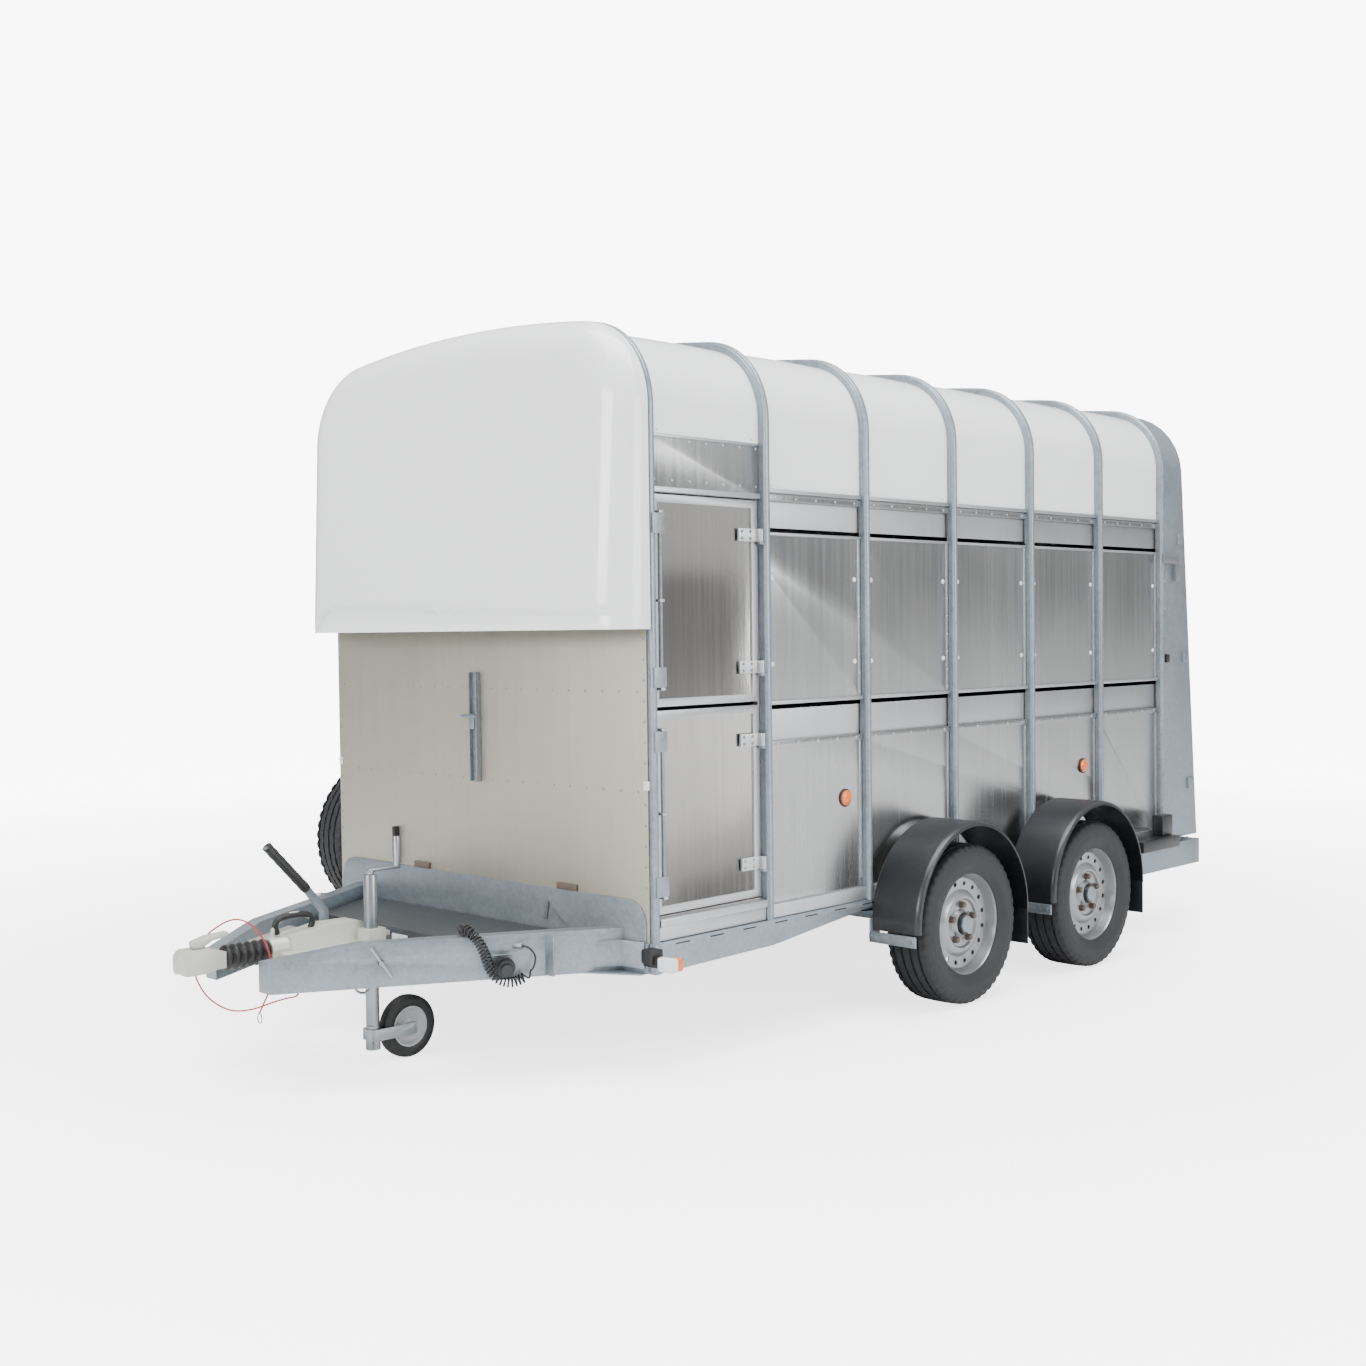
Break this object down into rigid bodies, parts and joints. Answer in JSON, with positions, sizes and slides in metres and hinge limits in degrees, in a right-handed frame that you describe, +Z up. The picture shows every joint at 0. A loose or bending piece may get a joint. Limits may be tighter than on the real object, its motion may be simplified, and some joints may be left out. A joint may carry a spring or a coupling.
{
  "type": "livestock trailer",
  "caption": "Twin-axle livestock trailer with a hooped metal body, moulded nose and roof, side door, vents, full-height rear ramp, overrun coupling and jockey wheel.",
  "frame": {"origin": "on the ground, under the middle of the trailer's overall length and width", "axes": "+Z up, hitch towards -Y, rear ramp towards +Y, +X is the trailer's left side with the door"},
  "size_m": [2.04, 4.558, 2.305],
  "materials": {
    "galvanised": "hot-dip galvanised, dull",
    "aluminium": "bright mill sheet",
    "gelcoat": "white gel coat",
    "cast_paint": "pale painted casting",
    "black_plastic": "black moulded plastic",
    "tyre_rubber": "tyre rubber",
    "rubber": "moulded rubber",
    "wheel_steel": "silver painted steel",
    "deck_board": "coated ply deck",
    "grey_box": "dark grey moulded plastic",
    "red_cable": "red sheathed cable"
  },
  "bodies": {
    "chassis": {"chassis_frame": "galvanised", "drawbar_left": "galvanised", "drawbar_right": "galvanised", "floor_deck": "deck_board", "hoop_1": "galvanised", "hoop_2": "galvanised", "hoop_3": "galvanised", "hoop_4": "galvanised", "hoop_5": "galvanised", "hoop_6": "galvanised", "hoop_7": "galvanised", "roof_skin": "gelcoat", "nose_cone": "gelcoat", "side_panel_left": "aluminium", "side_panel_right": "aluminium", "front_wall": "aluminium", "mudguard_front_left": "black_plastic", "mudguard_front_right": "black_plastic", "mudguard_rear_left": "black_plastic", "mudguard_rear_right": "black_plastic", "spare_wheel": "tyre_rubber", "coupling_housing": "cast_paint", "jockey_tube": "galvanised", "tool_box": "grey_box", "breakaway_cable": "red_cable", "lead_coil": "black_plastic"},
    "door_upper": {"door_upper": "aluminium"},
    "door_latch_upper": {"door_latch_upper": "galvanised"},
    "door_lower": {"door_lower": "aluminium"},
    "door_latch_lower": {"door_latch_lower": "galvanised"},
    "vent_flap_upper_left": {"vent_flap_upper_left": "aluminium"},
    "vent_flap_lower_left": {"vent_flap_lower_left": "aluminium"},
    "vent_flap_upper_right": {"vent_flap_upper_right": "aluminium"},
    "vent_flap_lower_right": {"vent_flap_lower_right": "aluminium"},
    "ramp": {"ramp_panel": "aluminium"},
    "ramp_catch_left": {"ramp_catch_left": "galvanised"},
    "ramp_catch_right": {"ramp_catch_right": "galvanised"},
    "axle_front": {"axle_front": "galvanised", "leaf_spring_front_left": "galvanised", "leaf_spring_front_right": "galvanised"},
    "wheel_front_left": {"tyre_front_left": "tyre_rubber", "rim_front_left": "wheel_steel"},
    "wheel_front_right": {"tyre_front_right": "tyre_rubber", "rim_front_right": "wheel_steel"},
    "axle_rear": {"axle_rear": "galvanised", "leaf_spring_rear_left": "galvanised", "leaf_spring_rear_right": "galvanised"},
    "wheel_rear_left": {"tyre_rear_left": "tyre_rubber", "rim_rear_left": "wheel_steel"},
    "wheel_rear_right": {"tyre_rear_right": "tyre_rubber", "rim_rear_right": "wheel_steel"},
    "coupling_head": {"coupling_head": "cast_paint", "bellows": "rubber"},
    "coupling_lever": {"coupling_lever": "cast_paint"},
    "handbrake_lever": {"handbrake_lever": "galvanised"},
    "jockey_crank": {"jockey_crank": "galvanised"},
    "jockey_stem": {"jockey_stem": "galvanised"},
    "jockey_fork": {"jockey_fork": "galvanised"},
    "jockey_wheel": {"jockey_wheel": "tyre_rubber"},
    "clamp_screw": {"clamp_screw": "galvanised"}
  },
  "joints": [
    {"name": "door_upper_hinge", "type": "hinge", "parent": "chassis", "child": "door_upper", "pos_m": [0.8057, -0.662, 1.417], "axis": [0, 0, 1], "range_deg": [0, 165]},
    {"name": "door_upper_catch", "type": "hinge", "parent": "door_upper", "child": "door_latch_upper", "pos_m": [0.812, -1.122, 1.417], "axis": [0, 0, 1], "range_deg": [0, 90]},
    {"name": "door_lower_hinge", "type": "hinge", "parent": "chassis", "child": "door_lower", "pos_m": [0.8057, -0.662, 0.779], "axis": [0, 0, 1], "range_deg": [0, 165]},
    {"name": "door_lower_catch", "type": "hinge", "parent": "door_lower", "child": "door_latch_lower", "pos_m": [0.812, -1.122, 0.779], "axis": [0, 0, 1], "range_deg": [0, 90]},
    {"name": "vent_upper_left_hinge", "type": "hinge", "parent": "chassis", "child": "vent_flap_upper_left", "pos_m": [0.782, 0.661, 1.746], "axis": [0, 1, 0], "range_deg": [0, 90]},
    {"name": "vent_lower_left_hinge", "type": "hinge", "parent": "chassis", "child": "vent_flap_lower_left", "pos_m": [0.782, 0.661, 0.959], "axis": [0, -1, 0], "range_deg": [0, 150]},
    {"name": "vent_upper_right_hinge", "type": "hinge", "parent": "chassis", "child": "vent_flap_upper_right", "pos_m": [-0.782, 0.661, 1.746], "axis": [0, -1, 0], "range_deg": [0, 90]},
    {"name": "vent_lower_right_hinge", "type": "hinge", "parent": "chassis", "child": "vent_flap_lower_right", "pos_m": [-0.782, 0.661, 0.959], "axis": [0, 1, 0], "range_deg": [0, 150]},
    {"name": "ramp_hinge", "type": "hinge", "parent": "chassis", "child": "ramp", "pos_m": [0, 2.261, 0.396], "axis": [-1, 0, 0], "range_deg": [0, 106]},
    {"name": "ramp_catch_left_pivot", "type": "hinge", "parent": "ramp", "child": "ramp_catch_left", "pos_m": [0.812, 2.059, 1.61], "axis": [-1, 0, 0], "range_deg": [0, 60]},
    {"name": "ramp_catch_right_pivot", "type": "hinge", "parent": "ramp", "child": "ramp_catch_right", "pos_m": [-0.812, 2.059, 1.61], "axis": [-1, 0, 0], "range_deg": [0, 60]},
    {"name": "axle_front_travel", "type": "slide", "parent": "chassis", "child": "axle_front", "axis": [0, 0, 1], "range_m": [-0.035, 0.035], "stiffness_N_per_m": 90000, "springref_m": -0.03634, "deforming": ["leaf_spring_front_left", "leaf_spring_front_right"]},
    {"name": "wheel_front_left_spin", "type": "hinge", "parent": "axle_front", "child": "wheel_front_left", "pos_m": [0.915, 0.217, 0.28256], "axis": [1, 0, 0], "continuous": true},
    {"name": "wheel_front_right_spin", "type": "hinge", "parent": "axle_front", "child": "wheel_front_right", "pos_m": [-0.915, 0.217, 0.28256], "axis": [1, 0, 0], "continuous": true},
    {"name": "axle_rear_travel", "type": "slide", "parent": "chassis", "child": "axle_rear", "axis": [0, 0, 1], "range_m": [-0.035, 0.035], "stiffness_N_per_m": 90000, "springref_m": -0.03634, "deforming": ["leaf_spring_rear_left", "leaf_spring_rear_right"]},
    {"name": "wheel_rear_left_spin", "type": "hinge", "parent": "axle_rear", "child": "wheel_rear_left", "pos_m": [0.915, 1.065, 0.28256], "axis": [1, 0, 0], "continuous": true},
    {"name": "wheel_rear_right_spin", "type": "hinge", "parent": "axle_rear", "child": "wheel_rear_right", "pos_m": [-0.915, 1.065, 0.28256], "axis": [1, 0, 0], "continuous": true},
    {"name": "overrun", "type": "slide", "parent": "chassis", "child": "coupling_head", "axis": [0, 1, 0], "range_m": [0, 0.08], "stiffness_N_per_m": 3000, "springref_m": -0.1, "deforming": ["bellows"]},
    {"name": "coupling_lever_pivot", "type": "hinge", "parent": "coupling_head", "child": "coupling_lever", "pos_m": [0, -2.221, 0.44], "axis": [1, 0, 0], "range_deg": [0, 55]},
    {"name": "handbrake_pivot", "type": "hinge", "parent": "chassis", "child": "handbrake_lever", "pos_m": [-0.064, -1.739, 0.402], "axis": [1, 0, 0], "range_deg": [-50, 35]},
    {"name": "jockey_lift", "type": "slide", "parent": "chassis", "child": "jockey_stem", "axis": [0, 0, 1], "range_m": [-0.15, 0]},
    {"name": "jockey_crank_turn", "type": "hinge", "parent": "chassis", "child": "jockey_crank", "pos_m": [0.07, -1.658, 0.6], "axis": [0, 0, 1], "continuous": true},
    {"name": "jockey_swivel", "type": "hinge", "parent": "jockey_stem", "child": "jockey_fork", "pos_m": [0.07, -1.658, 0.1], "axis": [0, 0, 1], "continuous": true},
    {"name": "jockey_wheel_spin", "type": "hinge", "parent": "jockey_fork", "child": "jockey_wheel", "pos_m": [0.07, -1.53, 0.09716], "axis": [1, 0, 0], "continuous": true},
    {"name": "clamp_screw_turn", "type": "hinge", "parent": "chassis", "child": "clamp_screw", "pos_m": [0.24324, -1.75794, 0.376], "axis": [0.8662, -0.4997, 0], "range_deg": [0, 360]}
  ]
}
